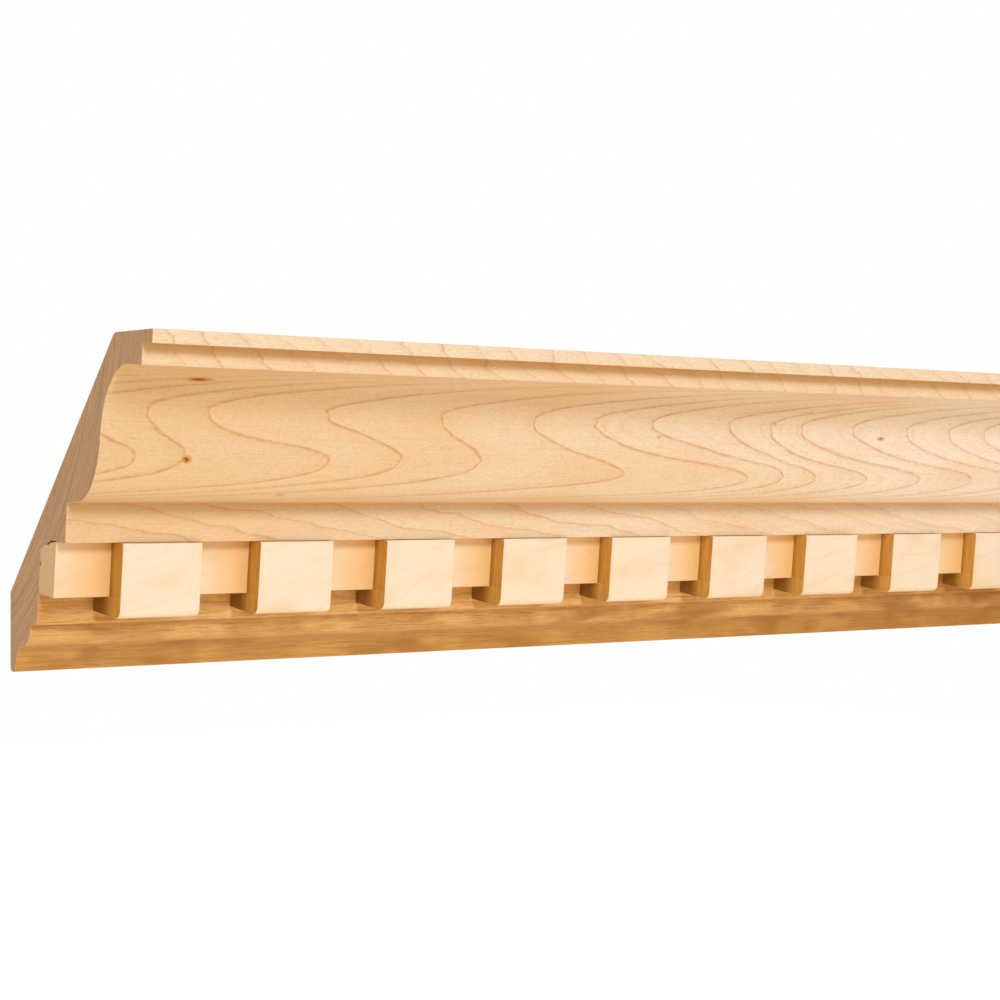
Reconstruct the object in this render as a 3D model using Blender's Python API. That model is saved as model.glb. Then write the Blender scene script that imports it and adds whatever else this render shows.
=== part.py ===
"""Cornice length: a sprung crown moulding with a dentil strip glued into its groove.

Run with blender --background --python part.py, or from Blender's text editor.
Metres, +Z up. +X runs along the moulding and +Y points to the wall. The origin
is the centre of the flat that bears on the wall.

The front profile is drawn square in its own frame and then leans, top forward,
so its points are (back, drop): how far behind and below the top front corner.
"""

import math

import bmesh
import bpy

# Length, and how the profile sits against the wall and the ceiling
LENGTH = 0.4445
PROFILE_LEAN = math.radians(5.3)
CEILING_FLAT = 0.0185
WALL_FLAT = 0.0216
BOTTOM_EDGE = 0.0008
BOTTOM_EASE = 0.0018
TOP_EASE = 0.0012

# Front profile of the crown, from the top down
TOP_FILLET_HEIGHT = 0.0037
TOP_FILLET_OVERHANG = 0.00455
NECK_HEIGHT = 0.0057
NECK_OVERHANG = 0.00615
COVE_DEPTH = 0.01205
COVE_HEIGHT = 0.01955
BULGE_DEPTH = 0.00995
BULGE_HEIGHT = 0.01745
RETURN_DEPTH = 0.0050
RETURN_DROP = 0.0009
FASCIA_HEIGHT = 0.01065
SOFFIT_DEPTH = 0.0076
GROOVE_CHAMFER_DEPTH = 0.0050
GROOVE_CHAMFER_DROP = 0.0030
LOWER_FASCIA_HEIGHT = 0.0196
STEP_DEPTH = 0.0032
STEP_DROP = 0.0009
OVOLO_DEPTH = 0.0048
OVOLO_HEIGHT = 0.00675
SMALL_COVE_DEPTH = 0.00255
SMALL_COVE_HEIGHT = 0.0072

# Dentil strip: a web with blocks, cut from one piece
FIRST_GAP = 0.0171
TOOTH_WIDTH = 0.0254
TOOTH_GAP = 0.01905
TOOTH_PROUD = 0.0011
TOOTH_DEPTH = 0.0057
TOOTH_HEIGHT = 0.0207
TOOTH_CORNER_RADIUS = 0.0030
WEB_HEIGHT = 0.0150
UNDERCUT = math.radians(3.8)
GLUE_LINE = 0.0003

# Colours of the two pieces of maple
CROWN_MAPLE = (0.76, 0.53, 0.31, 1.0)
STRIP_MAPLE = (0.85, 0.66, 0.44, 1.0)
MAPLE_ROUGHNESS = 0.5

# How finely the round stretches are drawn, and how far a cutter overshoots
LARGE_ARC_STEPS = 16
SMALL_ARC_STEPS = 8
CUTTER_MARGIN = 0.004
WELD_DISTANCE = 0.000005
SMOOTH_ANGLE = math.radians(25)

# Places in the profile that both pieces are built from, as (back, drop)
FASCIA_BACK = TOP_FILLET_OVERHANG + NECK_OVERHANG + COVE_DEPTH + BULGE_DEPTH + RETURN_DEPTH
FASCIA_TOP = TOP_FILLET_HEIGHT + NECK_HEIGHT + COVE_HEIGHT + BULGE_HEIGHT + RETURN_DROP
SOFFIT_DROP = FASCIA_TOP + FASCIA_HEIGHT
GROOVE_BACK = FASCIA_BACK + SOFFIT_DEPTH + GROOVE_CHAMFER_DEPTH


def clear_scene():
    for old in list(bpy.data.objects):
        bpy.data.objects.remove(old, do_unlink=True)


def collection(name):
    made = bpy.data.collections.new(name)
    bpy.context.scene.collection.children.link(made)
    return made


def wood(name, colour):
    material = bpy.data.materials.new(name)
    material.use_nodes = True
    material.diffuse_color = colour
    shader = material.node_tree.nodes["Principled BSDF"]
    shader.inputs["Base Color"].default_value = colour
    shader.inputs["Roughness"].default_value = MAPLE_ROUGHNESS
    shader.inputs["Metallic"].default_value = 0.0
    return material


def quarter_cove(start, depth, height, steps):
    """Hollow quarter ellipse that leaves level and ends plumb."""
    back, drop = start
    turns = [math.pi / 2 * n / steps for n in range(1, steps + 1)]
    return [(back + depth * math.sin(t), drop + height * (1 - math.cos(t))) for t in turns]


def quarter_round(start, depth, height, steps):
    """Swelling quarter ellipse that leaves plumb and ends level."""
    back, drop = start
    turns = [math.pi / 2 * n / steps for n in range(1, steps + 1)]
    return [(back + depth * (1 - math.cos(t)), drop + height * math.sin(t)) for t in turns]


def front_profile():
    """The crown's front, from the top front corner down to the bottom front corner."""
    line = [(0.0, 0.0)]

    def step(back, drop):
        line.append((line[-1][0] + back, line[-1][1] + drop))

    step(0.0, TOP_FILLET_HEIGHT)
    step(TOP_FILLET_OVERHANG, 0.0)
    step(0.0, NECK_HEIGHT)
    step(NECK_OVERHANG, 0.0)
    line.extend(quarter_cove(line[-1], COVE_DEPTH, COVE_HEIGHT, LARGE_ARC_STEPS))
    line.extend(quarter_round(line[-1], BULGE_DEPTH, BULGE_HEIGHT, LARGE_ARC_STEPS))
    step(RETURN_DEPTH, RETURN_DROP)
    step(0.0, FASCIA_HEIGHT)
    step(SOFFIT_DEPTH, 0.0)
    step(GROOVE_CHAMFER_DEPTH, GROOVE_CHAMFER_DROP)
    step(0.0, LOWER_FASCIA_HEIGHT)
    line.extend(quarter_round(line[-1], STEP_DROP, STEP_DROP, SMALL_ARC_STEPS))
    step(STEP_DEPTH - STEP_DROP, 0.0)
    line.extend(quarter_round(line[-1], OVOLO_DEPTH, OVOLO_HEIGHT, SMALL_ARC_STEPS))
    line.extend(quarter_cove(line[-1], SMALL_COVE_DEPTH, SMALL_COVE_HEIGHT, SMALL_ARC_STEPS))
    return line


def lean(point):
    """Turns a (back, drop) offset by the profile's lean, as an offset along (y, z)."""
    back, drop = point
    return (back * math.cos(PROFILE_LEAN) + drop * math.sin(PROFILE_LEAN),
            back * math.sin(PROFILE_LEAN) - drop * math.cos(PROFILE_LEAN))


def top_corner():
    """The top front corner (y, z) that puts the bottom edge against the wall."""
    reach, rise = lean(front_profile()[-1])
    return -BOTTOM_EDGE - BOTTOM_EASE - reach, -WALL_FLAT / 2 - rise


def place(points):
    corner_y, corner_z = top_corner()
    leant = [lean(point) for point in points]
    return [(corner_y + y, corner_z + z) for y, z in leant]


def eased(before, corner, after, radius, steps):
    """A round corner: a short curve that touches both edges at the radius from the corner."""
    def towards(target):
        run = math.dist(corner, target)
        return [c + (t - c) * radius / run for c, t in zip(corner, target)]

    start = towards(before)
    end = towards(after)
    curve = []
    for n in range(steps + 1):
        t = n / steps
        curve.append(tuple((1 - t) ** 2 * s + 2 * t * (1 - t) * c + t ** 2 * e
                           for s, c, e in zip(start, corner, end)))
    return curve


def crown_outline():
    """Closed section (y, z): the front profile, the wall flat, the sprung back, the ceiling flat."""
    front = place(front_profile())
    wall_bottom = (0.0, front[-1][1])
    wall_top = (0.0, WALL_FLAT / 2)
    ceiling_back = (front[0][0] + CEILING_FLAT, front[0][1])
    outline = list(front)
    outline.extend(eased(front[-1], wall_bottom, wall_top, BOTTOM_EASE, SMALL_ARC_STEPS))
    outline.append(wall_top)
    outline.extend(eased(wall_top, ceiling_back, front[0], TOP_EASE, SMALL_ARC_STEPS))
    return outline


def strip_outline():
    """Closed section (y, z) of the strip through a tooth, clear of the groove by the glue line."""
    front = FASCIA_BACK - TOOTH_PROUD
    back = GROOVE_BACK - GLUE_LINE
    top = SOFFIT_DROP + GLUE_LINE
    slant = math.hypot(GROOVE_CHAMFER_DEPTH, GROOVE_CHAMFER_DROP)
    chamfer_top = (GROOVE_BACK - GROOVE_CHAMFER_DEPTH
                   - GLUE_LINE * (slant - GROOVE_CHAMFER_DEPTH) / GROOVE_CHAMFER_DROP)
    chamfer_bottom = (SOFFIT_DROP + GROOVE_CHAMFER_DROP
                      + GLUE_LINE * (slant - GROOVE_CHAMFER_DROP) / GROOVE_CHAMFER_DEPTH)
    front_top = (front, top)
    front_bottom = (front, top + TOOTH_HEIGHT)
    back_bottom = (back, top + TOOTH_HEIGHT - (back - front) * math.tan(UNDERCUT))
    outline = [front_top, (chamfer_top, top), (back, chamfer_bottom), back_bottom]
    outline.extend(eased(back_bottom, front_bottom, front_top, TOOTH_CORNER_RADIUS, SMALL_ARC_STEPS))
    return place(outline)


def gap_outline():
    """Closed section (y, z) of what is cut away between two teeth, so that the web is left."""
    tooth_front = FASCIA_BACK - TOOTH_PROUD
    front = tooth_front - CUTTER_MARGIN
    web_front = tooth_front + TOOTH_DEPTH
    back = GROOVE_BACK + CUTTER_MARGIN
    top = SOFFIT_DROP - CUTTER_MARGIN
    web_bottom = SOFFIT_DROP + GLUE_LINE + WEB_HEIGHT
    bottom = SOFFIT_DROP + GLUE_LINE + TOOTH_HEIGHT + CUTTER_MARGIN
    back_rise = (back - web_front) * math.tan(UNDERCUT)
    return place([(front, top), (web_front, top), (web_front, web_bottom),
                  (back, web_bottom - back_rise), (back, bottom), (front, bottom)])


def extruded(name, outline, x_start, x_end, home):
    """A closed prism along X with the given (y, z) section, as a mesh in the collection home."""
    curve = bpy.data.curves.new(name, "CURVE")
    curve.dimensions = "2D"
    curve.fill_mode = "BOTH"
    curve.extrude = (x_end - x_start) / 2
    spline = curve.splines.new("POLY")
    spline.points.add(len(outline) - 1)
    for point, (y, z) in zip(spline.points, outline):
        point.co = (y, z, 0.0, 1.0)
    spline.use_cyclic_u = True
    drawn = bpy.data.objects.new(name + "_outline", curve)
    drawn.rotation_euler = (math.pi / 2, 0.0, math.pi / 2)
    drawn.location = ((x_start + x_end) / 2, 0.0, 0.0)
    home.objects.link(drawn)
    bpy.context.view_layer.update()
    mesh = bpy.data.meshes.new_from_object(drawn.evaluated_get(bpy.context.evaluated_depsgraph_get()))
    mesh.name = name
    weld_and_face_out(mesh)
    solid = bpy.data.objects.new(name, mesh)
    solid.matrix_world = drawn.matrix_world.copy()
    home.objects.link(solid)
    bpy.data.objects.remove(drawn, do_unlink=True)
    return solid


def weld_and_face_out(mesh):
    bm = bmesh.new()
    bm.from_mesh(mesh)
    bmesh.ops.remove_doubles(bm, verts=bm.verts, dist=WELD_DISTANCE)
    bmesh.ops.recalc_face_normals(bm, faces=bm.faces)
    bm.to_mesh(mesh)
    bm.free()


def finish(solid, material):
    solid.data.materials.clear()
    solid.data.materials.append(material)
    solid.data.shade_smooth()
    solid.data.set_sharp_from_angle(angle=SMOOTH_ANGLE)


def gap_spans():
    """Where the strip is cut, as (x_start, x_end): the end gap, then one after each tooth."""
    left = -LENGTH / 2
    spans = [(left - CUTTER_MARGIN, left + FIRST_GAP)]
    tooth_start = left + FIRST_GAP
    while tooth_start + TOOTH_WIDTH < LENGTH / 2:
        gap_start = tooth_start + TOOTH_WIDTH
        spans.append((gap_start, gap_start + TOOTH_GAP))
        tooth_start = gap_start + TOOTH_GAP
    return spans


def build_crown(home):
    crown = extruded("crown_body", crown_outline(), -LENGTH / 2, LENGTH / 2, home)
    finish(crown, wood("maple_crown", CROWN_MAPLE))


def build_dentil_strip(home, cutters):
    strip = extruded("dentil_strip", strip_outline(), -LENGTH / 2, LENGTH / 2, home)
    finish(strip, wood("maple_strip", STRIP_MAPLE))
    for number, (x_start, x_end) in enumerate(gap_spans(), start=1):
        cutter = extruded(f"gap_cutter_{number:02d}", gap_outline(), x_start, x_end, cutters)
        cutter.hide_render = True
        cutter.display_type = "WIRE"
        cut = strip.modifiers.new(f"gap_{number:02d}", "BOOLEAN")
        cut.operation = "DIFFERENCE"
        cut.solver = "EXACT"
        cut.object = cutter


clear_scene()
parts = collection("cornice_moulding_length")
build_crown(parts)
build_dentil_strip(parts, collection("cutters"))
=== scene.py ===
"""Looks of the cornice length: a maple crown moulding with a dentil strip glued into its groove.

Metres, +Z up, +X along the moulding and +Y into the wall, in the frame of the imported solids.
Both pieces are redrawn with finer curves and eased edges, and their wood is made of shader nodes.
"""

import math
import random
from collections import namedtuple

import bmesh
import bpy
from mathutils import Matrix, Vector


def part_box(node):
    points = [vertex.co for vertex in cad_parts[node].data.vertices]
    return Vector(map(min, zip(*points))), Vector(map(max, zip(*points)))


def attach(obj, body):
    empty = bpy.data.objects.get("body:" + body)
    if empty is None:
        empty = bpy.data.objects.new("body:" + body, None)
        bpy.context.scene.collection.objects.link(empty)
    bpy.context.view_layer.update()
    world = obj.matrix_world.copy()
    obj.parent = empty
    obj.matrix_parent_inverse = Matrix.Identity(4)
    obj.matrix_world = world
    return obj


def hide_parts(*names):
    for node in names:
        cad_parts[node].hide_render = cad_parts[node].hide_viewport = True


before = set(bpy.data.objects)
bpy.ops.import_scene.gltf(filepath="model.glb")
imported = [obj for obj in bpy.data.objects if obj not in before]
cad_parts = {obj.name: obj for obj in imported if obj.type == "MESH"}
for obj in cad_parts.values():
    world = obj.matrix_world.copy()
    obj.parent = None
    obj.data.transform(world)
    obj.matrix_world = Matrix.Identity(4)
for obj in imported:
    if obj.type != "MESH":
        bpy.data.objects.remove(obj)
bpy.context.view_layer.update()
crown_low, crown_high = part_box("crown_body")

# Front profile of the crown, from the top down, square in a frame that leans top forward
PROFILE_LEAN = math.radians(5.3)
CEILING_FLAT = 0.0185
WALL_FLAT = 0.0216
BOTTOM_EASE = 0.0018
TOP_EASE = 0.0012
TOP_FILLET_HEIGHT = 0.0037
TOP_FILLET_OVERHANG = 0.00455
NECK_HEIGHT = 0.0057
NECK_OVERHANG = 0.00615
COVE_DEPTH = 0.01205
COVE_HEIGHT = 0.01955
BULGE_DEPTH = 0.00995
BULGE_HEIGHT = 0.01745
RETURN_DEPTH = 0.0050
RETURN_DROP = 0.0009
FASCIA_HEIGHT = 0.01065
SOFFIT_DEPTH = 0.0076
GROOVE_CHAMFER_DEPTH = 0.0050
GROOVE_CHAMFER_DROP = 0.0030
LOWER_FASCIA_HEIGHT = 0.0196
STEP_DEPTH = 0.0032
STEP_DROP = 0.0009
OVOLO_DEPTH = 0.0048
OVOLO_HEIGHT = 0.00675
SMALL_COVE_DEPTH = 0.00255
SMALL_COVE_HEIGHT = 0.0072

# Dentil strip
FIRST_GAP = 0.0171
TOOTH_WIDTH = 0.0254
TOOTH_GAP = 0.01905
TOOTH_PROUD = 0.0011
TOOTH_DEPTH = 0.0057
TOOTH_HEIGHT = 0.0207
TOOTH_CORNER_RADIUS = 0.0030
WEB_HEIGHT = 0.0150
UNDERCUT = math.radians(3.8)
TOP_JOINT = 0.00014
GLUED_JOINT = 0.00003
TOOTH_SLIP = 0.00012
SLIP_SEED = 7

# Openings in the glue joint, seen in the strip's end
CORNER_VOID_WIDTH = 0.0005
CORNER_VOID_SHARE = 0.45
CORNER_VOID_LIP = 0.0003
BACK_VOID_START = 0.0058
BACK_VOID_LENGTH = 0.0018
BACK_VOID_DEPTH = 0.0006

# How sharp edges are eased, and how finely curves are drawn
EDGE_EASE = 0.0003
END_EASE = 0.00018
TOOTH_EASE = 0.00025
EASE_STEPS = 4
LARGE_ARC_STEPS = 48
SMALL_ARC_STEPS = 16
CORNER_ANGLE = math.radians(25)
SHARP_ANGLE = math.radians(35)
CROWN_STATIONS = 48
TOOTH_EASE_STEPS = 3
# The most of an edge that a rounded corner takes, and how square to the length an end face lies
EASED_SHARE = 0.45
END_FACING = 0.7

# Growth rings of the crown's board, in mm from the left end: where they cross the ogee's cove and its bulge
RINGS_AT_COVE = (-10, 12, 32, 70, 111, 146, 172, 195, 227, 246, 261, 286, 312, 335, 353, 374)
RINGS_AT_BULGE = (13, 29, 78, 101, 130, 190, 245, 260, 277, 301, 329, 357, 380, 401, 423, 444)
RINGS_BEYOND = 12
RING_SPACING_BEYOND = 21.0

# How a ring line swings from its place at the cove to its place at the bulge: (mm up the board, share)
RING_SWING = ((52.0, 1.0), (55.4, 0.98), (57.6, 0.91), (59.4, 0.77), (61.0, 0.57), (62.4, 0.40),
              (63.8, 0.26), (65.2, 0.14), (66.6, 0.06), (69.0, 0.0))
# How far the lines trail along the board above the cove and below the bulge: (mm up the board, mm along)
RING_TRAIL = ((40.0, -200.0), (42.2, -146.0), (44.2, -104.0), (46.6, -66.0), (49.0, -38.0), (51.2, -19.0),
              (53.4, -8.0), (56.0, -2.0), (59.0, 0.0), (67.6, 0.0), (69.6, 2.0), (71.5, 9.0), (73.5, 21.0),
              (75.5, 36.0), (77.5, 53.0), (79.4, 75.0), (81.3, 105.0), (82.9, 145.0), (85.0, 200.0))
# How much lower the loops over the bulge lie on the right half, and where along and up that sets in, in mm
RING_SINK = 3.0
RING_SINK_ALONG = (120.0, 260.0)
RING_SINK_UP = (57.0, 71.0)
# Steps over which the spacing of the ogee's rings is measured, in mm, and the least rings in 1 mm
PACE_STEP_ALONG = 2.0
PACE_STEP_UP = 0.5
LEAST_PACE = 0.008

# Pin knots on the ogee: (mm from the left end, mm up the board, half length, half height, strength)
PIN_KNOTS = (
    (26.1, 77.4, 3.4, 0.60, 1.0),
    (27.0, 56.3, 1.2, 0.75, 1.0),
    (198.6, 64.2, 0.9, 0.45, 0.30),
    (248.8, 69.0, 0.7, 0.60, 0.35),
    (301.3, 65.3, 1.6, 0.55, 0.55),
    (61.0, 45.6, 1.6, 0.50, 0.30),
)

# How ragged a knot's edge is, and where its halo and its spot begin and are full, in half sizes squared
KNOT_RAGGEDNESS = 2.4
KNOT_HALO_REACH = (3.2, 0.4)
KNOT_SPOT_REACH = (0.9, 0.0)

# Rings off the ogee: mm along between lines, how far a line moves along for each mm out and each mm up
# (on the strip for each mm back and each mm down), and how far it wanders
TOP_RINGS = (13.0, 10.0, 4.9, 22.0)
LOW_RINGS = (33.0, 21.0, 7.0, 44.0)
STRIP_RINGS = (16.0, 6.0, -3.4, 60.0)
# How far the ogee's ring lines wander and tremble, in mm
WANDER_REACH = 7.0
TREMBLE_REACH = 2.6
# Width of a ring line: in mm on the ogee, and as a share of the spacing elsewhere
OGEE_LINE_WIDTH = 0.9
TOP_LINE_WIDTH = 0.09
LOW_LINE_WIDTH = 0.10
STRIP_LINE_WIDTH = 0.16
# How dark a line is on its crisp side, and how strong the crown's lines are below the dentils
CRISP_SHARE = 0.4
LINE_BELOW_DENTILS = 0.05
# How strong the crown's lines are: over two places, paces or noise values, the strengths at both
LINE_WHERE_CROWDED = (0.10, 0.8, 0.52, 0.20)
LINE_TOWARD_NECK = (74.0, 81.0, 1.0, 0.35)
LINE_TOWARD_RETURN = (43.0, 53.0, 0.5, 1.0)
LINE_TOWARD_RIGHT = (220.0, 400.0, 1.0, 0.72)
LINE_ON_TOP = (-0.12, 0.12, 0.05, 0.42)
LINE_ON_FASCIA = (110.0, 330.0, 0.34, 0.14)
LINE_IN_TREMBLE = (-0.16, 0.10, 0.40, 1.0)
# The wood darkens before each line, by this power and share of the way to it
DUSK_POWER = 3.0
DUSK_SHARE = 0.13
# Bands between the lines: spots from one ring to the next, detail and roughness
BANDS = (5.0, 3.0, 0.7)

# Noise in long grain: mm along the grain, mm across it, detail and roughness
WANDER = (34.0, 9.0, 3.0, 0.55)
TREMBLE = (3.2, 1.3, 3.0, 0.6)
SPECKLE = (1.5, 0.30, 3.0, 0.7)
FLECK = (0.7, 0.35, 2.0, 0.6)
STREAK = (26.0, 0.6, 4.0, 0.65)
PORE = (5.0, 0.32, 2.0, 0.6)
CLOUD = (70.0, 16.0, 2.0, 0.5)
FIGURE = (13.0, 9.0, 1.0, 0.5)
BLOTCH = (30.0, 12.0, 2.0, 0.6)
TOP_PATCH = (17.0, 11.0, 1.0, 0.6)
STRIP_CLOUD = (30.0, 14.0, 2.0, 0.6)
STRIP_SWIRL = (40.0, 12.0, 1.0, 0.4)
STRIP_SPECKLE = (1.5, 0.35, 3.0, 0.7)
# Noise on sawn faces: spots in 1 mm across the face and through its rings, detail and roughness
END_RING = (0.03, 1.6, 2.0, 0.7)
END_STREAK = (0.35, 4.0, 2.0, 0.5)
END_PORE = (4.0, 4.0, 1.0, 0.5)
TOOTH_STREAK = (0.10, 2.6, 3.0, 0.7)
# Spots in 1 mm along the moulding on sawn faces, so that each cut has its own
SAWN_DEPTH_SCALE = 0.3
# Saw marks on the web: spots in 1 mm along it and down it, detail and roughness
SAW_MARKS = (3.5, 0.15, 2.0, 0.5)

# How much a look shows: two noise values or places in mm, and its shares there, which are else 0 and 1
LEFT_TO_RIGHT = (20.0, 400.0)
CLOUD_SHARE = (-0.08, 0.25, 0.0, 0.45)
BANDS_SHARE = (0.40, 0.75, 0.0, 0.40)
WARM_FASCIA = (150.0, 380.0, 0.0, 0.30)
# Painted shade in the neck under the top fillet
NECK_SHADE = (88.2, 93.0, 0.0, 0.68)
# Painted shade above and below the ogee's return, where the bulge overhangs the fascia
RETURN_SHADE = (0.8, 3.6, 0.5, 0.0)
FIGURE_SHARE = (-0.35, 0.35)
FOOT_SHARE = (-6.0, -10.0)
BLOTCH_SHARE = (-0.03, 0.14, 0.0, 0.65)
BLOTCH_LOW = (3.0, -5.0)
STAIN_RIGHT = (300.0, 390.0, 0.0, 0.75)
STAIN_FIGURE = (-0.15, 0.15, 1.0, 0.4)
STREAK_SHARE = (-0.04, 0.30, 0.0, 0.16)
STREAK_BELOW_DENTILS = (-0.02, 0.20, 0.0, 0.60)
PORE_SHARE = (0.03, 0.16, 0.0, 0.50)
SPECKLE_SHARE = (-0.12, 0.24, 0.0, 0.30)
END_RING_SHARE = (0.36, 0.66, 0.0, 0.55)
END_STREAK_SHARE = (0.42, 0.70, 0.0, 0.45)
END_PORE_SHARE = (0.50, 0.75, 0.0, 0.35)
STRIP_CLOUD_SHARE = (-0.05, 0.25)
STRIP_SPECKLE_SHARE = (0.0, 0.30, 0.0, 0.16)
WEB_BACK = (2.0, 5.0)
SAW_MARKS_SHARE = (0.50, 0.70)
TOOTH_STREAK_SHARE = (0.38, 0.66, 0.0, 0.8)
# Painted shade on the teeth's sides: in the corner with the web, and toward the back under it
CORNER_SHADE_BY_WEB = (3.2, 5.7, 0.0, 0.65)
CORNER_SHADE_AT_BACK = (3.5, 9.5, 0.0, 1.0)
# How much a look shows where its share is the same all over
TOP_SHARE = 0.92
# Share of the warm tint in the painted shade in the neck
NECK_WARM_SHADE_SHARE = 0.30
STRIP_LINE_SHARE = 0.14
# Share of the painted shade on a tooth's side beside the web
TOOTH_SIDE_SHADE_BY_WEB = 0.35
# Share of the warm painted shade on the web right after one tooth and right before the next
WEB_SHADE_SHARE = (0.15, 1.0)
# Two places in the way from one tooth to the next, from 0 to 1, and the share of the saw marks at both
SAW_MARKS_BY_TOOTH = (0.84, 0.97, 0.0, 0.35)

# Surfaces: roughness and specular level, the strength of the grain's relief and its depth in metres
PLANED_ROUGHNESS = 0.50
PLANED_SPECULAR = 0.35
SAWN_SPECULAR = 0.2
CROWN_END_ROUGHNESS = 0.8
STRIP_END_ROUGHNESS = 0.75
TOOTH_SIDE_ROUGHNESS = 0.6
CROWN_RELIEF = 0.18
STRIP_RELIEF = 0.1
SAWN_RELIEF = 0.2
RELIEF_DEPTH = 0.0002
# How high the pores below the dentils stand for each step that the speckles stand
PORE_RELIEF = -2.5

# Where the rings in the end grain are centred: mm up and out for the crown, mm down and back for the strip
HEART_OF_TREE = (23.0, -115.0)
HEART_OF_STRIP = (12.0, -90.0)

# Where the kinds of surface on the crown meet, in mm up the board, out from its back and out from the wall
TOP_ZONE_UP = 86.0
LOW_ZONE_UP = 41.0
GROOVE_ZONE_UP = 26.0
BACK_ZONE_OUT = 3.0
WALL_ZONE_OUT = 0.5
NECK_OUT = 11.0
TOP_FILLET_UP = 93.0
RETURN_UP = 39.4

# Colours of the wood and of the shade painted into it, as linear values
CROWN_LEFT = (0.76, 0.555, 0.335, 1.0)
CROWN_RIGHT = (0.92, 0.830, 0.740, 1.0)
CROWN_WARM_AND_SHADE = (0.78, 0.510, 0.250, 1.0)
CROWN_TOP = (0.85, 0.690, 0.510, 1.0)
CROWN_LOW_AND_SHADE = (0.66, 0.360, 0.110, 1.0)
CROWN_LOW_LIGHT = (0.78, 0.480, 0.190, 1.0)
CROWN_FOOT = (0.56, 0.305, 0.085, 1.0)
CROWN_LINE = (0.53, 0.205, 0.035, 1.0)
CROWN_STREAK = (0.36, 0.150, 0.028, 1.0)
CROWN_END = (0.80, 0.550, 0.385, 1.0)
CROWN_END_DARK = (0.44, 0.280, 0.180, 1.0)
STRIP_LIGHT = (0.86, 0.715, 0.565, 1.0)
STRIP_WARM = (0.83, 0.630, 0.430, 1.0)
STRIP_WEB_SHADE = (0.82, 0.490, 0.200, 1.0)
STRIP_LINE = (0.66, 0.400, 0.190, 1.0)
STRIP_END = (0.97, 0.740, 0.510, 1.0)
STRIP_END_DARK = (0.84, 0.580, 0.370, 1.0)
TOOTH_SIDE = (0.78, 0.430, 0.110, 1.0)
TOOTH_SIDE_STREAK_AND_SHADE = (0.56, 0.275, 0.045, 1.0)
TOOTH_CORNER_SHADE = (0.28, 0.130, 0.022, 1.0)
KNOT_HALO = (0.66, 0.280, 0.050, 1.0)
KNOT_BROWN = (0.24, 0.065, 0.008, 1.0)

# Camera, as the photograph's vanishing points give it
CAMERA_PLACE = (-0.5555, -0.6007, 0.0347)
CAMERA_TURN = math.radians(40.19)
CAMERA_LENS = 89.28
CAMERA_SENSOR = 36.0
CAMERA_SHIFT_UP = 0.004
CAMERA_CLIP = 0.01

# Light: a soft box in front, a weak warm card below it and a warm white surround.
# Each lamp has its bearing from straight in front, elevation, distance, width, watts and colour.
SOFT_BOX = (math.radians(-16.0), math.radians(26.0), 1.6, 0.50, 15.5, (0.80, 0.90, 1.0))
BOUNCE_CARD = (math.radians(-10.0), math.radians(-66.0), 0.8, 0.80, 3.2, (1.0, 0.84, 0.62))
SURROUND_LIGHT = (1.0, 0.80, 0.54, 1.0)
SURROUND_STRENGTH = 0.62
FLOOR_LEVEL = -0.9
FLOOR_HALF = 8.0
FLOOR_COLOUR = (0.80, 0.80, 0.80, 1.0)

# Places in the profile that both pieces are built from, as (back, drop) from the top front corner
FASCIA_BACK = TOP_FILLET_OVERHANG + NECK_OVERHANG + COVE_DEPTH + BULGE_DEPTH + RETURN_DEPTH
FASCIA_TOP = TOP_FILLET_HEIGHT + NECK_HEIGHT + COVE_HEIGHT + BULGE_HEIGHT + RETURN_DROP
SOFFIT_DROP = FASCIA_TOP + FASCIA_HEIGHT
GROOVE_BACK = FASCIA_BACK + SOFFIT_DEPTH + GROOVE_CHAMFER_DEPTH
LEAN = Matrix.Translation((0.0, crown_low.y, crown_high.z)) @ Matrix.Rotation(PROFILE_LEAN, 4, "X")
MILLIMETRES = 1000.0

# The kinds of surface on the crown, each 1 where a place is on it and 0 elsewhere
Zones = namedtuple("Zones", "in_front in_top in_neck in_low below_dentils")


def quarter_cove(start, depth, height, steps):
    """Hollow quarter ellipse that leaves level and ends plumb."""
    back, drop = start
    turns = [math.pi / 2 * n / steps for n in range(1, steps + 1)]
    return [(back + depth * math.sin(t), drop + height * (1 - math.cos(t))) for t in turns]


def quarter_round(start, depth, height, steps):
    """Swelling quarter ellipse that leaves plumb and ends level."""
    back, drop = start
    turns = [math.pi / 2 * n / steps for n in range(1, steps + 1)]
    return [(back + depth * (1 - math.cos(t)), drop + height * math.sin(t)) for t in turns]


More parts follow.
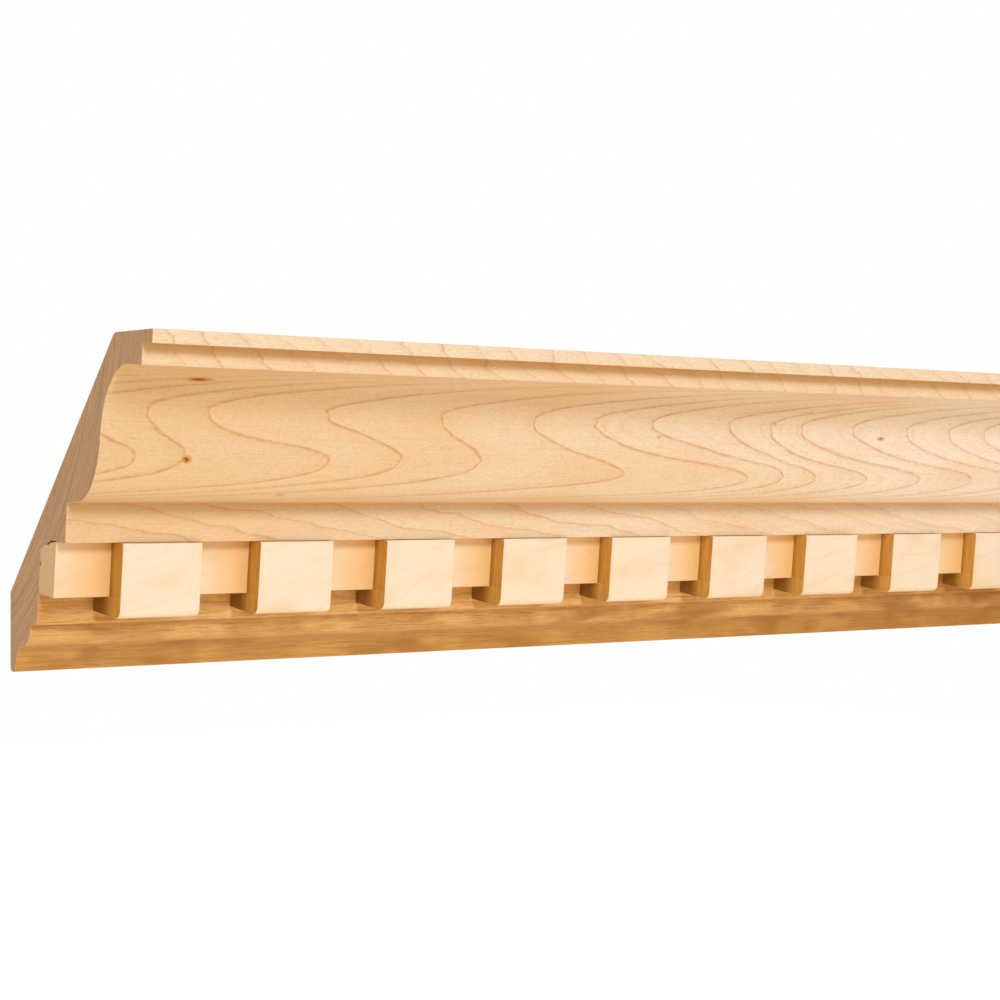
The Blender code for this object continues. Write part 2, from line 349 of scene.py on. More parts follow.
def front_profile():
    """The crown's front, from the top front corner down to the bottom front corner."""
    line = [(0.0, 0.0)]

    def step(back, drop):
        line.append((line[-1][0] + back, line[-1][1] + drop))

    step(0.0, TOP_FILLET_HEIGHT)
    step(TOP_FILLET_OVERHANG, 0.0)
    step(0.0, NECK_HEIGHT)
    step(NECK_OVERHANG, 0.0)
    line.extend(quarter_cove(line[-1], COVE_DEPTH, COVE_HEIGHT, LARGE_ARC_STEPS))
    line.extend(quarter_round(line[-1], BULGE_DEPTH, BULGE_HEIGHT, LARGE_ARC_STEPS))
    step(RETURN_DEPTH, RETURN_DROP)
    step(0.0, FASCIA_HEIGHT)
    step(SOFFIT_DEPTH, 0.0)
    step(GROOVE_CHAMFER_DEPTH, GROOVE_CHAMFER_DROP)
    step(0.0, LOWER_FASCIA_HEIGHT)
    line.extend(quarter_round(line[-1], STEP_DROP, STEP_DROP, SMALL_ARC_STEPS))
    step(STEP_DEPTH - STEP_DROP, 0.0)
    line.extend(quarter_round(line[-1], OVOLO_DEPTH, OVOLO_HEIGHT, SMALL_ARC_STEPS))
    line.extend(quarter_cove(line[-1], SMALL_COVE_DEPTH, SMALL_COVE_HEIGHT, SMALL_ARC_STEPS))
    return line


def place(points):
    """(back, drop) points of the leaning profile as world (y, z) points."""
    leant = [LEAN @ Vector((0.0, back, -drop)) for back, drop in points]
    return [(p.y, p.z) for p in leant]


def eased(before, corner, after, radius, steps):
    """A round corner: a short curve that touches both edges at the radius from the corner."""
    def towards(target):
        run = math.dist(corner, target)
        reach = min(radius, run * EASED_SHARE)
        return [c + (t - c) * reach / run for c, t in zip(corner, target)]

    start = towards(before)
    end = towards(after)
    curve = []
    for n in range(steps + 1):
        t = n / steps
        curve.append(tuple((1 - t) ** 2 * s + 2 * t * (1 - t) * c + t ** 2 * e
                           for s, c, e in zip(start, corner, end)))
    return curve


def turn_at(before, corner, after):
    """The signed angle by which a line of points turns at a corner."""
    first = math.atan2(corner[1] - before[1], corner[0] - before[0])
    second = math.atan2(after[1] - corner[1], after[0] - corner[0])
    return (second - first + math.pi) % (2 * math.pi) - math.pi


def with_eased_corners(outline, radius, outward):
    """The closed outline with its sharp outer corners rounded; outward is the sign of their turn."""
    result = []
    for n, corner in enumerate(outline):
        before = outline[n - 1]
        after = outline[(n + 1) % len(outline)]
        if turn_at(before, corner, after) * outward > CORNER_ANGLE:
            result.extend(eased(before, corner, after, radius, EASE_STEPS))
        else:
            result.append(corner)
    return result


def inset(outline, distance):
    """The closed outline moved in by a distance, corner by corner."""
    area = sum(a[0] * b[1] - b[0] * a[1] for a, b in zip(outline, outline[1:] + outline[:1]))
    side = math.copysign(1.0, area)
    moved = []
    for n, corner in enumerate(outline):
        before = Vector(corner) - Vector(outline[n - 1])
        after = Vector(outline[(n + 1) % len(outline)]) - Vector(corner)
        across = (before.normalized() + after.normalized()).normalized()
        moved.append((corner[0] - across.y * distance * side, corner[1] + across.x * distance * side))
    return moved


def crown_outline():
    """Closed section (y, z): the front profile, the wall flat, the sprung back, the ceiling flat."""
    front = place(front_profile())
    wall_bottom = (0.0, front[-1][1])
    wall_top = (0.0, WALL_FLAT / 2)
    ceiling_back = (front[0][0] + CEILING_FLAT, front[0][1])
    outline = list(front)
    outline.extend(eased(front[-1], wall_bottom, wall_top, BOTTOM_EASE, SMALL_ARC_STEPS))
    outline.append(wall_top)
    outline.extend(eased(wall_top, ceiling_back, front[0], TOP_EASE, SMALL_ARC_STEPS))
    return with_eased_corners(outline, EDGE_EASE, 1.0)


def finish_mesh(bm, name, materials):
    """Turns a bmesh into a smooth-shaded object whose faces square to the length are end grain."""
    bmesh.ops.recalc_face_normals(bm, faces=bm.faces)
    bm.normal_update()
    for face in bm.faces:
        middle = face.calc_center_median().x
        at_end = min(middle - crown_low.x, crown_high.x - middle) < END_EASE
        if abs(face.normal.x) > END_FACING:
            face.material_index = 1 if at_end else len(materials) - 1
    mesh = bpy.data.meshes.new(name)
    bm.to_mesh(mesh)
    bm.free()
    for material in materials:
        mesh.materials.append(material)
    mesh.shade_smooth()
    mesh.set_sharp_from_angle(angle=SHARP_ANGLE)
    piece = bpy.data.objects.new(name, mesh)
    bpy.context.scene.collection.objects.link(piece)
    weighted = piece.modifiers.new("flat_faces_stay_flat", "WEIGHTED_NORMAL")
    weighted.keep_sharp = True
    return piece


def build_crown(materials):
    outline = crown_outline()
    start = crown_low.x
    end = crown_high.x
    turns = [math.pi / 2 * n / EASE_STEPS for n in range(EASE_STEPS + 1)]
    rings = [(start + END_EASE * (1 - math.cos(t)), END_EASE * (1 - math.sin(t))) for t in turns]
    pitch = (end - start - 2 * END_EASE) / CROWN_STATIONS
    rings += [(start + END_EASE + pitch * n, 0.0) for n in range(1, CROWN_STATIONS)]
    rings += [(end - END_EASE * (1 - math.cos(t)), END_EASE * (1 - math.sin(t))) for t in reversed(turns)]
    bm = bmesh.new()
    loops = []
    for x, shrink in rings:
        section = inset(outline, shrink) if shrink else outline
        loops.append([bm.verts.new((x, y, z)) for y, z in section])
    for near, far in zip(loops, loops[1:]):
        for n in range(len(outline)):
            m = (n + 1) % len(outline)
            bm.faces.new((near[n], near[m], far[m], far[n]))
    bm.faces.new(loops[0])
    bm.faces.new(loops[-1])
    return finish_mesh(bm, "crown_moulding", materials)


def strip_points():
    """The strip's section as (back, drop): tooth, joint with the groove, and web corners."""
    front = FASCIA_BACK - TOOTH_PROUD
    web_front = front + TOOTH_DEPTH
    back = GROOVE_BACK - GLUED_JOINT
    top = SOFFIT_DROP + GLUED_JOINT
    tooth_top = SOFFIT_DROP + TOP_JOINT
    tooth_bottom = tooth_top + TOOTH_HEIGHT
    web_bottom = tooth_top + WEB_HEIGHT
    chamfer = Vector((GROOVE_CHAMFER_DEPTH, GROOVE_CHAMFER_DROP))
    inward = Vector((-chamfer.y, chamfer.x)).normalized() * CORNER_VOID_WIDTH
    chamfer_top = Vector((GROOVE_BACK - GROOVE_CHAMFER_DEPTH, top))
    void_end = chamfer_top + chamfer * CORNER_VOID_SHARE
    joint = [
        tuple(chamfer_top + inward - Vector((CORNER_VOID_LIP, 0.0))),
        tuple(void_end + inward),
        tuple(void_end),
        (back, SOFFIT_DROP + GROOVE_CHAMFER_DROP + GLUED_JOINT),
        (back, SOFFIT_DROP + BACK_VOID_START),
        (back - BACK_VOID_DEPTH, SOFFIT_DROP + BACK_VOID_START + BACK_VOID_DEPTH),
        (back - BACK_VOID_DEPTH, SOFFIT_DROP + BACK_VOID_START + BACK_VOID_LENGTH - BACK_VOID_DEPTH),
        (back, SOFFIT_DROP + BACK_VOID_START + BACK_VOID_LENGTH),
    ]
    web_back = (back, web_bottom - (back - web_front) * math.tan(UNDERCUT))
    tooth_back = (back, tooth_bottom - (back - front) * math.tan(UNDERCUT))
    nose = eased(tooth_back, (front, tooth_bottom), (front, tooth_top), TOOTH_CORNER_RADIUS, SMALL_ARC_STEPS)
    return {
        "web_top": (web_front, top),
        "joint": joint,
        "web_back": web_back,
        "tooth_back": tooth_back,
        "nose": nose,
        "tooth_top": (front, tooth_top),
        "tooth_top_inner": (web_front, tooth_top),
        "web_bottom": (web_front, web_bottom),
    }


def tooth_spans():
    """Where each tooth starts and ends along X, each a hair off its place as a hand-set saw leaves it."""
    slip = random.Random(SLIP_SEED)
    spans = []
    start = crown_low.x + FIRST_GAP
    while start + TOOTH_WIDTH < crown_high.x:
        spans.append((start + slip.uniform(-1, 1) * TOOTH_SLIP,
                      start + TOOTH_WIDTH + slip.uniform(-1, 1) * TOOTH_SLIP))
        start += TOOTH_WIDTH + TOOTH_GAP
    return spans


def build_strip(materials):
    points = strip_points()
    shared = [points["web_top"], *points["joint"], points["web_back"]]
    tooth = [points["tooth_back"], *points["nose"], points["tooth_top"], points["tooth_top_inner"]]
    tooth_loop = [*shared, *tooth]
    web_loop = [*shared, points["web_bottom"], points["tooth_top_inner"]]
    side = [points["web_back"], *tooth, points["web_bottom"]]
    every = list(dict.fromkeys(tooth_loop + web_loop))
    teeth = tooth_spans()
    stations = [crown_low.x]
    for span in teeth:
        stations.extend(span)
    stations.append(crown_high.x)
    bm = bmesh.new()
    corners = []
    for number, x in enumerate(stations):
        at_end = number in (0, len(stations) - 1)
        used = web_loop if at_end else every
        corners.append({p: bm.verts.new((x, p[0], -p[1])) for p in used})
    for number, (near, far) in enumerate(zip(corners, corners[1:])):
        loop = tooth_loop if number % 2 else web_loop
        for a, b in zip(loop, loop[1:] + loop[:1]):
            bm.faces.new((near[a], near[b], far[b], far[a]))
    for number, corner in enumerate(corners):
        at_end = number in (0, len(corners) - 1)
        bm.faces.new([corner[p] for p in (web_loop if at_end else side)])
    bmesh.ops.recalc_face_normals(bm, faces=bm.faces)
    web_front = points["web_bottom"][0]
    shown = [e for e in bm.edges if e.calc_face_angle(0.0) > CORNER_ANGLE
             and min(v.co.y for v in e.verts) < web_front + GLUED_JOINT
             and max(-v.co.z for v in e.verts) > points["tooth_top"][1] - GLUED_JOINT]
    bmesh.ops.bevel(bm, geom=shown, offset=TOOTH_EASE, segments=TOOTH_EASE_STEPS, profile=0.5,
                    affect="EDGES", clamp_overlap=False)
    bmesh.ops.transform(bm, matrix=LEAN, verts=bm.verts)
    return finish_mesh(bm, "dentils", materials)


class Graph:
    """Adds shader nodes to one material, so that the material reads as a short formula."""

    def __init__(self, name):
        self.material = bpy.data.materials.new(name)
        self.material.use_nodes = True
        self.tree = self.material.node_tree
        self.shader = self.tree.nodes["Principled BSDF"]

    def node(self, kind, **settings):
        made = self.tree.nodes.new(kind)
        for name, value in settings.items():
            setattr(made, name, value)
        return made

    def feed(self, value, socket):
        """Links a node's output to a socket, or sets the socket to a plain value."""
        if isinstance(value, bpy.types.NodeSocket):
            self.tree.links.new(value, socket)
        else:
            socket.default_value = value

    def math(self, operation, *values):
        made = self.node("ShaderNodeMath", operation=operation)
        for value, socket in zip(values, made.inputs):
            self.feed(value, socket)
        return made.outputs[0]

    def times(self, first, *others):
        """The product of two or more values."""
        product = first
        for value in others:
            product = self.math("MULTIPLY", product, value)
        return product

    def fit(self, value, low, high, to_low=0.0, to_high=1.0, smooth=True):
        """The value's place between low and high, eased and held at both ends."""
        made = self.node("ShaderNodeMapRange", interpolation_type="SMOOTHSTEP" if smooth else "LINEAR")
        for name, number in (("From Min", low), ("From Max", high), ("To Min", to_low), ("To Max", to_high)):
            self.feed(number, made.inputs[name])
        self.feed(value, made.inputs["Value"])
        return made.outputs["Result"]

    def combine(self, x, y, z):
        made = self.node("ShaderNodeCombineXYZ")
        for value, socket in zip((x, y, z), made.inputs):
            self.feed(value, socket)
        return made.outputs[0]

    def noise(self, place, detail, roughness):
        made = self.node("ShaderNodeTexNoise")
        self.feed(place, made.inputs["Vector"])
        made.inputs["Scale"].default_value = 1.0
        made.inputs["Detail"].default_value = detail
        made.inputs["Roughness"].default_value = roughness
        return made.outputs["Fac"]

    def curve(self, value, points):
        """A smooth line through (input, output) points."""
        ins = [p[0] for p in points]
        outs = [p[1] for p in points]
        low, high, bottom, top = min(ins), max(ins), min(outs), max(outs)
        made = self.node("ShaderNodeFloatCurve")
        line = made.mapping.curves[0]
        placed = [((i - low) / (high - low), (o - bottom) / (top - bottom)) for i, o in points]
        line.points[0].location = placed[0]
        line.points[-1].location = placed[-1]
        for place_on_line in placed[1:-1]:
            line.points.new(*place_on_line)
        made.mapping.update()
        self.feed(self.fit(value, low, high, smooth=False), made.inputs["Value"])
        return self.math("MULTIPLY_ADD", made.outputs[0], top - bottom, bottom)

    def blend(self, share, first, second):
        made = self.node("ShaderNodeMix", data_type="RGBA", clamp_factor=True)
        self.feed(share, made.inputs["Factor"])
        self.feed(first, made.inputs[6])
        self.feed(second, made.inputs[7])
        return made.outputs[2]

    def finish(self, colour, roughness, specular, relief, strength):
        """Sets the surface's colour, how dull it is and its fine relief, and gives the material."""
        self.feed(colour, self.shader.inputs["Base Color"])
        self.shader.inputs["Roughness"].default_value = roughness
        self.shader.inputs["Specular IOR Level"].default_value = specular
        made = self.node("ShaderNodeBump")
        made.inputs["Strength"].default_value = strength
        made.inputs["Distance"].default_value = RELIEF_DEPTH
        self.feed(relief, made.inputs["Height"])
        self.feed(made.outputs["Normal"], self.shader.inputs["Normal"])
        return self.material


def places(g, origin, *directions):
    """Millimetres along the length from the left end, then from the origin in each (y, z) direction."""
    split = g.node("ShaderNodeSeparateXYZ")
    g.feed(g.node("ShaderNodeTexCoord").outputs["Object"], split.inputs[0])
    x, y, z = split.outputs
    measures = [g.math("MULTIPLY_ADD", x, MILLIMETRES, -crown_low.x * MILLIMETRES)]
    for way in directions:
        level = g.math("MULTIPLY_ADD", y, way.x * MILLIMETRES, -way.dot(origin) * MILLIMETRES)
        measures.append(g.math("MULTIPLY_ADD", z, way.y * MILLIMETRES, level))
    return measures


def board_places(g):
    """Millimetres along the crown's board, up its back from the wall, and out to its front."""
    foot = Vector((0.0, WALL_FLAT / 2))
    head = Vector((crown_low.y + CEILING_FLAT, crown_high.z))
    up = (head - foot).normalized()
    return places(g, foot, up, Vector((-up.y, up.x)))


def strip_places(g):
    """Millimetres along the strip, down its leaning front, and back into it from its teeth's faces."""
    corner = LEAN @ Vector((0.0, FASCIA_BACK - TOOTH_PROUD, -SOFFIT_DROP))
    down = Vector((math.sin(PROFILE_LEAN), -math.cos(PROFILE_LEAN)))
    back = Vector((math.cos(PROFILE_LEAN), math.sin(PROFILE_LEAN)))
    return places(g, Vector((corner.y, corner.z)), down, back)


def between(g, share, first, second):
    """The first value where the share is 0, the second where it is 1, and a mix where it is in between."""
    return g.math("MULTIPLY_ADD", share, g.math("SUBTRACT", second, first), first)


def grain_noise(g, place, grain):
    """Noise about zero whose spots are long in the direction of the grain."""
    along, up, out = place
    length, width, detail, roughness = grain
    across = (g.math("DIVIDE", up, width), g.math("DIVIDE", out, width))
    spot = g.combine(g.math("DIVIDE", along, length), *across)
    return g.math("SUBTRACT", g.noise(spot, detail, roughness), 0.5)


def sawn_noise(g, along, across, through, sawn):
    """Noise on a sawn face, stretched one way across it and another way through it."""
    across_scale, through_scale, detail, roughness = sawn
    spot = g.combine(g.times(along, SAWN_DEPTH_SCALE), g.times(across, across_scale),
                     g.times(through, through_scale))
    return g.noise(spot, detail, roughness)


def with_rings_beyond(named):
    """The named rings with evenly spaced ones added on both sides, as (place, ring number)."""
    before = [named[0] - RING_SPACING_BEYOND * n for n in range(RINGS_BEYOND, 0, -1)]
    after = [named[-1] + RING_SPACING_BEYOND * n for n in range(1, RINGS_BEYOND + 1)]
    return [(place_along, number) for number, place_along in enumerate([*before, *named, *after])]


def ogee_rings(g, along, up):
    """Ring number on the ogee: the lines loop left in the cove and right over the bulge."""
    sink_on_right = g.fit(along, *RING_SINK_ALONG, 0.0, RING_SINK)
    up = g.math("ADD", up, g.times(sink_on_right, g.fit(up, *RING_SINK_UP, 1.0, 0.0)))
    untrailed = g.math("SUBTRACT", along, g.curve(up, RING_TRAIL))
    at_cove = g.curve(untrailed, with_rings_beyond(RINGS_AT_COVE))
    at_bulge = g.curve(untrailed, with_rings_beyond(RINGS_AT_BULGE))
    return between(g, g.curve(up, RING_SWING), at_cove, at_bulge)


def ring_pace(g, along, up, rings):
    """How many ogee rings are passed in 1 mm straight across the lines."""
    further_along = ogee_rings(g, g.math("ADD", along, PACE_STEP_ALONG), up)
    further_up = ogee_rings(g, along, g.math("ADD", up, PACE_STEP_UP))
    pace_along = g.math("DIVIDE", g.math("SUBTRACT", further_along, rings), PACE_STEP_ALONG)
    pace_up = g.math("DIVIDE", g.math("SUBTRACT", further_up, rings), PACE_STEP_UP)
    pace = g.math("SQRT", g.math("MULTIPLY_ADD", pace_along, pace_along, g.times(pace_up, pace_up)))
    return g.math("MAXIMUM", pace, LEAST_PACE)


def slanted_rings(g, place, wander, kind):
    """Ring number where the rings cut the board as flat, tilted sheets."""
    along, up, out = place
    spacing, slant_out, slant_up, reach = kind
    leant = g.math("MULTIPLY_ADD", wander, reach, along)
    leant = g.math("MULTIPLY_ADD", out, -slant_out, leant)
    leant = g.math("MULTIPLY_ADD", up, -slant_up, leant)
    return g.math("DIVIDE", leant, spacing)


def ring_line(g, rings, width):
    """A thin dark line at each whole ring number: crisp on one side and fading on the other."""
    passed = g.math("FRACT", rings)
    left_to_go = g.math("SUBTRACT", 1.0, passed)
    fading = g.fit(g.math("DIVIDE", left_to_go, width), 1.0, 0.0)
    crisp = g.fit(g.math("DIVIDE", passed, width), CRISP_SHARE, 0.0)
    return g.math("MAXIMUM", fading, crisp)


def crown_zones(g, place):
    """Which kinds of surface of the crown a place is on, each as 1 or 0."""
    _, up, out = place
    off_wall = places(g, Vector((0.0, 0.0)), Vector((-1.0, 0.0)))[1]
    off_back = g.math("GREATER_THAN", out, BACK_ZONE_OUT)
    in_front = g.times(off_back, g.math("GREATER_THAN", off_wall, WALL_ZONE_OUT))
    in_top = g.math("GREATER_THAN", up, TOP_ZONE_UP)
    below_fillet = g.math("LESS_THAN", up, TOP_FILLET_UP)
    in_neck = g.times(in_top, g.math("GREATER_THAN", out, NECK_OUT), below_fillet)
    in_low = g.math("MAXIMUM", g.math("LESS_THAN", up, LOW_ZONE_UP), g.math("SUBTRACT", 1.0, in_front))
    below_dentils = g.times(g.math("LESS_THAN", up, GROOVE_ZONE_UP), in_front)
    return Zones(in_front, in_top, in_neck, in_low, below_dentils)


def by_zone(g, zones, on_ogee, on_top, on_low):
    """One of three values: the ogee's, the top's, or that of the low and rear surfaces."""
    return between(g, zones.in_low, between(g, zones.in_top, on_ogee, on_top), on_low)


def crown_rings(g, place, zones, wander, tremble):
    """Ring number anywhere on the crown, and how strong its line is there."""
    along, up, _ = place
    moved = g.math("MULTIPLY_ADD", tremble, TREMBLE_REACH, along)
    moved = g.math("MULTIPLY_ADD", wander, WANDER_REACH, moved)
    ogee = ogee_rings(g, moved, up)
    pace = ring_pace(g, moved, up, ogee)
    top = slanted_rings(g, place, wander, TOP_RINGS)
    low = slanted_rings(g, place, wander, LOW_RINGS)
    rings = by_zone(g, zones, ogee, top, low)
    width = by_zone(g, zones, g.times(pace, OGEE_LINE_WIDTH), TOP_LINE_WIDTH, LOW_LINE_WIDTH)
    on_ogee = g.times(g.fit(pace, *LINE_WHERE_CROWDED), g.fit(up, *LINE_TOWARD_NECK),
                      g.fit(up, *LINE_TOWARD_RETURN), g.fit(along, *LINE_TOWARD_RIGHT))
    on_top = g.fit(grain_noise(g, place, TOP_PATCH), *LINE_ON_TOP)
    on_low = g.fit(along, *LINE_ON_FASCIA)
    strength = g.times(by_zone(g, zones, on_ogee, on_top, on_low), g.fit(tremble, *LINE_IN_TREMBLE))
    strength = between(g, zones.below_dentils, strength, LINE_BELOW_DENTILS)
    return rings, g.times(ring_line(g, rings, width), strength)


def upper_wood(g, place, zones, bands):
    """Colour of the crown above the dentils and at the back, before its lines and streaks, with painted
    shade in the neck and along the ogee's return.
    """
    along, up, _ = place
    colour = g.blend(g.fit(along, *LEFT_TO_RIGHT, smooth=False), CROWN_LEFT, CROWN_RIGHT)
    colour = g.blend(g.fit(grain_noise(g, place, CLOUD), *CLOUD_SHARE), colour, CROWN_WARM_AND_SHADE)
    colour = g.blend(g.fit(bands, *BANDS_SHARE), colour, CROWN_WARM_AND_SHADE)
    colour = g.blend(g.times(zones.in_top, TOP_SHARE), colour, CROWN_TOP)
    # Painted shade in the neck under the top fillet: warmer, then darker up to the fillet
    colour = g.blend(g.times(zones.in_neck, NECK_WARM_SHADE_SHARE), colour, CROWN_WARM_AND_SHADE)
    colour = g.blend(g.times(zones.in_neck, g.fit(up, *NECK_SHADE)), colour, CROWN_LOW_AND_SHADE)
    warmer_fascia = g.times(zones.in_front, zones.in_low, g.fit(along, *WARM_FASCIA))
    colour = g.blend(warmer_fascia, colour, CROWN_WARM_AND_SHADE)
    # Painted shade on the bulge's underside and the top of the fascia, under the ogee's return
    from_return = g.math("ABSOLUTE", g.math("SUBTRACT", up, RETURN_UP))
    return g.blend(g.times(zones.in_front, g.fit(from_return, *RETURN_SHADE)), colour, CROWN_LOW_AND_SHADE)


def lower_wood(g, place):
    """Colour of the crown below the dentils: darker, with blotches at its foot and a stain to the right."""
    along, up, _ = place
    figure = grain_noise(g, place, FIGURE)
    colour = g.blend(g.fit(figure, *FIGURE_SHARE), CROWN_LOW_AND_SHADE, CROWN_LOW_LIGHT)
    colour = g.blend(g.fit(up, *FOOT_SHARE), colour, CROWN_FOOT)
    blotch = g.fit(grain_noise(g, place, BLOTCH), *BLOTCH_SHARE)
    colour = g.blend(g.times(blotch, g.fit(up, *BLOTCH_LOW)), colour, CROWN_STREAK)
    stain = g.times(g.fit(along, *STAIN_RIGHT), g.fit(figure, *STAIN_FIGURE))
    return g.blend(stain, colour, CROWN_STREAK)


def with_knots(g, place, zones, colour):
    """The colour with the pin knots in it, each a dark spot in a ragged halo."""
    along, up, _ = place
    fleck = grain_noise(g, place, FLECK)
    for knot_along, knot_up, half_length, half_height, strength in PIN_KNOTS:
        across = g.math("DIVIDE", g.math("SUBTRACT", along, knot_along), half_length)
        rise = g.math("DIVIDE", g.math("SUBTRACT", up, knot_up), half_height)
        reach = g.math("MULTIPLY_ADD", across, across, g.times(rise, rise))
        ragged = g.math("MULTIPLY_ADD", fleck, KNOT_RAGGEDNESS, reach)
        halo = g.times(zones.in_front, g.fit(ragged, *KNOT_HALO_REACH, 0.0, strength))
        spot = g.times(zones.in_front, g.fit(ragged, *KNOT_SPOT_REACH, 0.0, strength))
        colour = g.blend(spot, g.blend(halo, colour, KNOT_HALO), KNOT_BROWN)
    return colour


def crown_wood():
    """Long grain of the crown."""
    g = Graph("crown_maple")
    place = board_places(g)
    zones = crown_zones(g, place)
    wander = grain_noise(g, place, WANDER)
    tremble = grain_noise(g, place, TREMBLE)
    rings, line = crown_rings(g, place, zones, wander, tremble)
    dusk = g.times(g.math("POWER", g.math("FRACT", rings), DUSK_POWER), DUSK_SHARE)
    band_scale, band_detail, band_roughness = BANDS
    bands = g.noise(g.combine(g.times(rings, band_scale), wander, 0.0), band_detail, band_roughness)
    streak = grain_noise(g, place, STREAK)
    pore = g.times(zones.below_dentils, grain_noise(g, place, PORE))
    speckle = grain_noise(g, place, SPECKLE)
    colour = g.blend(zones.below_dentils, upper_wood(g, place, zones, bands), lower_wood(g, place))
    colour = g.blend(g.math("ADD", line, dusk), colour, CROWN_LINE)
    colour = g.blend(g.fit(streak, *STREAK_SHARE), colour, CROWN_LINE)
    streak_below = g.times(zones.below_dentils, g.fit(streak, *STREAK_BELOW_DENTILS))
    colour = g.blend(streak_below, colour, CROWN_STREAK)
    colour = g.blend(g.fit(pore, *PORE_SHARE), colour, CROWN_STREAK)
    colour = g.blend(g.fit(speckle, *SPECKLE_SHARE), colour, CROWN_LINE)
    colour = with_knots(g, place, zones, colour)
    relief = g.math("MULTIPLY_ADD", pore, PORE_RELIEF, speckle)
    return g.finish(colour, PLANED_ROUGHNESS, PLANED_SPECULAR, relief, CROWN_RELIEF)


def end_grain(name, measured, heart, light, dark, roughness):
    """Sawn end grain: rings about the heart of the tree, edge on as fine streaks, with pores between."""
    g = Graph(name)
    along, first, second = measured(g)
    rise = g.math("SUBTRACT", first, heart[0])
    reach = g.math("SUBTRACT", second, heart[1])
    ringwise = g.math("SQRT", g.math("MULTIPLY_ADD", rise, rise, g.times(reach, reach)))
    ring = sawn_noise(g, along, rise, ringwise, END_RING)
    streak = sawn_noise(g, along, rise, ringwise, END_STREAK)
    pore = sawn_noise(g, along, rise, ringwise, END_PORE)
    colour = g.blend(g.fit(ring, *END_RING_SHARE), light, dark)
    colour = g.blend(g.fit(streak, *END_STREAK_SHARE), colour, dark)
    colour = g.blend(g.fit(pore, *END_PORE_SHARE), colour, dark)
    return g.finish(colour, roughness, SAWN_SPECULAR, pore, SAWN_RELIEF)


def strip_wood():
    """Long grain of the dentil strip: pale on the teeth, with warm painted shade on the web that deepens
    toward each next tooth.
    """
    g = Graph("strip_maple")
    place = strip_places(g)
    along, drop, back = place
    in_web = g.fit(back, *WEB_BACK)
    pitch = (TOOTH_WIDTH + TOOTH_GAP) * MILLIMETRES
    phase = g.math("FRACT", g.math("MULTIPLY_ADD", along, 1 / pitch, 1 - FIRST_GAP * MILLIMETRES / pitch))
    web_shade = g.fit(phase, TOOTH_WIDTH * MILLIMETRES / pitch, 1.0, *WEB_SHADE_SHARE)
    along_scale, down_scale, saw_detail, saw_roughness = SAW_MARKS
    spot = g.combine(g.times(along, along_scale), g.times(drop, down_scale), 0.0)
    saw_marks = g.fit(g.noise(spot, saw_detail, saw_roughness), *SAW_MARKS_SHARE)
    saw_marks = g.times(saw_marks, g.fit(phase, *SAW_MARKS_BY_TOOTH))
    rings = slanted_rings(g, place, grain_noise(g, place, STRIP_SWIRL), STRIP_RINGS)
    line = ring_line(g, rings, STRIP_LINE_WIDTH)
    speckle = grain_noise(g, place, STRIP_SPECKLE)
    cloud = grain_noise(g, place, STRIP_CLOUD)
    colour = g.blend(g.fit(cloud, *STRIP_CLOUD_SHARE), STRIP_LIGHT, STRIP_WARM)
    # Painted shade and warm bounced light on the web, deepening toward each next tooth
    colour = g.blend(g.times(in_web, web_shade), colour, STRIP_WEB_SHADE)
    colour = g.blend(g.times(line, STRIP_LINE_SHARE), colour, STRIP_LINE)
    colour = g.blend(g.times(in_web, saw_marks), colour, STRIP_LINE)
    colour = g.blend(g.fit(speckle, *STRIP_SPECKLE_SHARE), colour, STRIP_LINE)
    return g.finish(colour, PLANED_ROUGHNESS, PLANED_SPECULAR, speckle, STRIP_RELIEF)


def tooth_side():
    """Sawn sides of the teeth: upright streaks, with painted shade beside the web, in the corner with it and
    toward the back.
    """
    g = Graph("tooth_side_grain_and_shade")
    along, drop, back = strip_places(g)
    streak = sawn_noise(g, along, drop, back, TOOTH_STREAK)
    beside_web = g.math("LESS_THAN", drop, WEB_HEIGHT * MILLIMETRES)
    # Painted shade in the corner with the web and toward the back of the side
    corner = g.times(beside_web, g.fit(back, *CORNER_SHADE_BY_WEB))
    corner = g.math("MAXIMUM", corner, g.fit(back, *CORNER_SHADE_AT_BACK))
    # Painted shade on the side beside the web
    colour = g.blend(g.times(beside_web, TOOTH_SIDE_SHADE_BY_WEB), TOOTH_SIDE, TOOTH_SIDE_STREAK_AND_SHADE)
    colour = g.blend(g.fit(streak, *TOOTH_STREAK_SHARE), colour, TOOTH_SIDE_STREAK_AND_SHADE)
    colour = g.blend(corner, colour, TOOTH_CORNER_SHADE)
    return g.finish(colour, TOOTH_SIDE_ROUGHNESS, SAWN_SPECULAR, streak, SAWN_RELIEF)


def build_camera():
    data = bpy.data.cameras.new("camera")
    data.lens = CAMERA_LENS
    data.sensor_width = CAMERA_SENSOR
    data.shift_y = CAMERA_SHIFT_UP
    data.clip_start = CAMERA_CLIP
    camera = bpy.data.objects.new("camera", data)
    camera.location = CAMERA_PLACE
    camera.rotation_euler = (math.pi / 2, 0.0, -CAMERA_TURN)
    bpy.context.scene.collection.objects.link(camera)
    bpy.context.scene.camera = camera


def build_light(name, bearing, elevation, distance, size, power, colour):
    """A round soft light that faces the middle of the piece."""
    target = (crown_low + crown_high) / 2
    aim = Vector((math.sin(bearing) * math.cos(elevation), -math.cos(bearing) * math.cos(elevation),
                  math.sin(elevation)))
    data = bpy.data.lights.new(name, "AREA")
    data.shape = "DISK"
    data.size = size
    data.energy = power
    data.color = colour
    lamp = bpy.data.objects.new(name, data)
    lamp.location = target + aim * distance
    lamp.rotation_euler = aim.to_track_quat("Z", "Y").to_euler()
    bpy.context.scene.collection.objects.link(lamp)


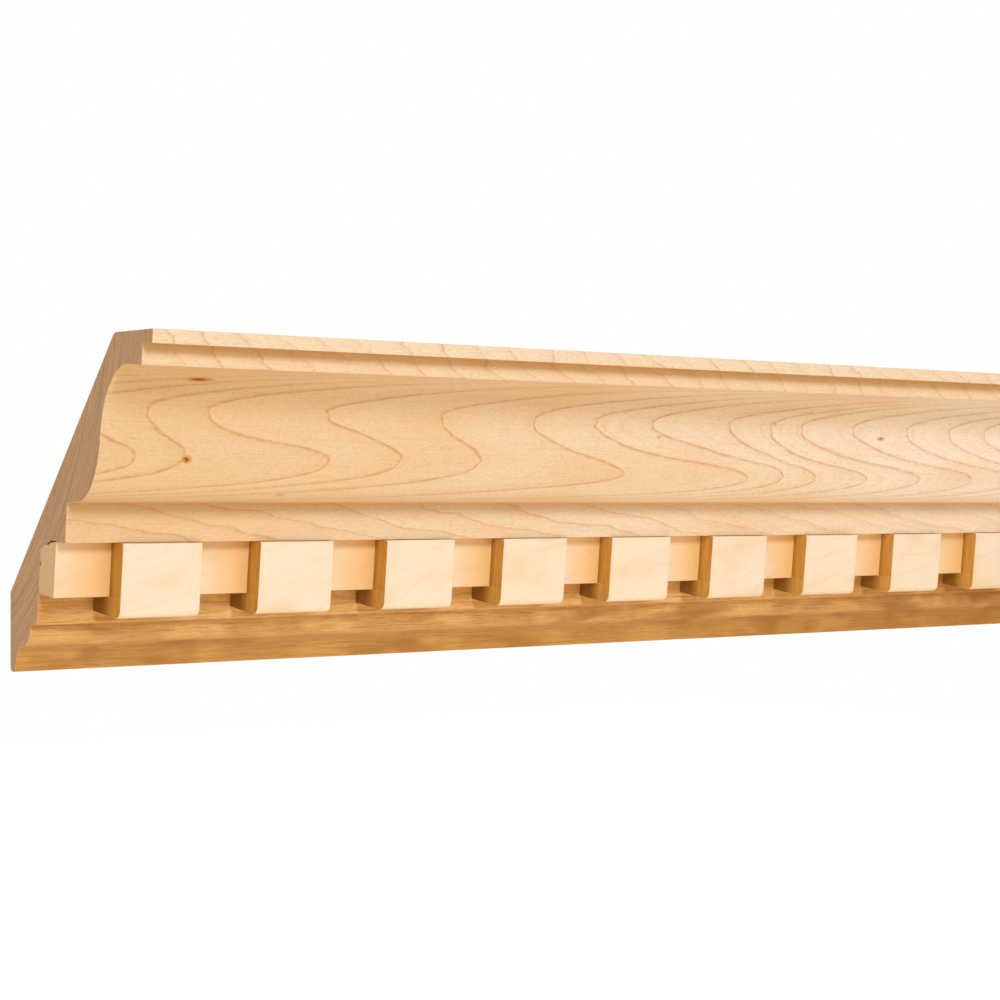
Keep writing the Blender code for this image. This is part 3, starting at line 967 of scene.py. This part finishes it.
def build_surround():
    """A white surround: seen as plain white, and lighting the piece more softly than it looks."""
    scene = bpy.context.scene
    scene.view_settings.view_transform = "Standard"
    world = bpy.data.worlds.new("surround")
    scene.world = world
    world.use_nodes = True
    tree = world.node_tree
    light = tree.nodes["Background"]
    light.inputs["Color"].default_value = SURROUND_LIGHT
    light.inputs["Strength"].default_value = SURROUND_STRENGTH
    seen = tree.nodes.new("ShaderNodeBackground")
    seen.inputs["Strength"].default_value = 1.0
    seen.inputs["Color"].default_value = (1.0, 1.0, 1.0, 1.0)
    path = tree.nodes.new("ShaderNodeLightPath")
    choose = tree.nodes.new("ShaderNodeMixShader")
    tree.links.new(path.outputs["Is Camera Ray"], choose.inputs[0])
    tree.links.new(light.outputs[0], choose.inputs[1])
    tree.links.new(seen.outputs[0], choose.inputs[2])
    tree.links.new(choose.outputs[0], tree.nodes["World Output"].inputs["Surface"])


def build_floor():
    """A plain pale floor, far below the piece."""
    mesh = bpy.data.meshes.new("floor")
    corners = [(-1, -1), (1, -1), (1, 1), (-1, 1)]
    mesh.from_pydata([(x * FLOOR_HALF, y * FLOOR_HALF, FLOOR_LEVEL) for x, y in corners], [], [(0, 1, 2, 3)])
    material = bpy.data.materials.new("floor_white")
    material.use_nodes = True
    tree = material.node_tree
    shader = tree.nodes["Principled BSDF"]
    shader.inputs["Base Color"].default_value = FLOOR_COLOUR
    shader.inputs["Roughness"].default_value = 1.0
    shader.inputs["Specular IOR Level"].default_value = 0.0
    shader.inputs["Emission Color"].default_value = (1.0, 1.0, 1.0, 1.0)
    path = tree.nodes.new("ShaderNodeLightPath")
    tree.links.new(path.outputs["Is Camera Ray"], shader.inputs["Emission Strength"])
    mesh.materials.append(material)
    floor = bpy.data.objects.new("floor", mesh)
    bpy.context.scene.collection.objects.link(floor)


build_camera()
crown_end = end_grain("crown_end_grain", board_places, HEART_OF_TREE, CROWN_END, CROWN_END_DARK,
                      CROWN_END_ROUGHNESS)
crown = build_crown([crown_wood(), crown_end])
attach(crown, "root")
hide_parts("crown_body")
strip_end = end_grain("strip_end_grain", strip_places, HEART_OF_STRIP, STRIP_END, STRIP_END_DARK,
                      STRIP_END_ROUGHNESS)
strip = build_strip([strip_wood(), strip_end, tooth_side()])
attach(strip, "root")
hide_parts("dentil_strip")
build_light("soft_box", *SOFT_BOX)
build_light("bounce_card", *BOUNCE_CARD)
build_surround()
build_floor()
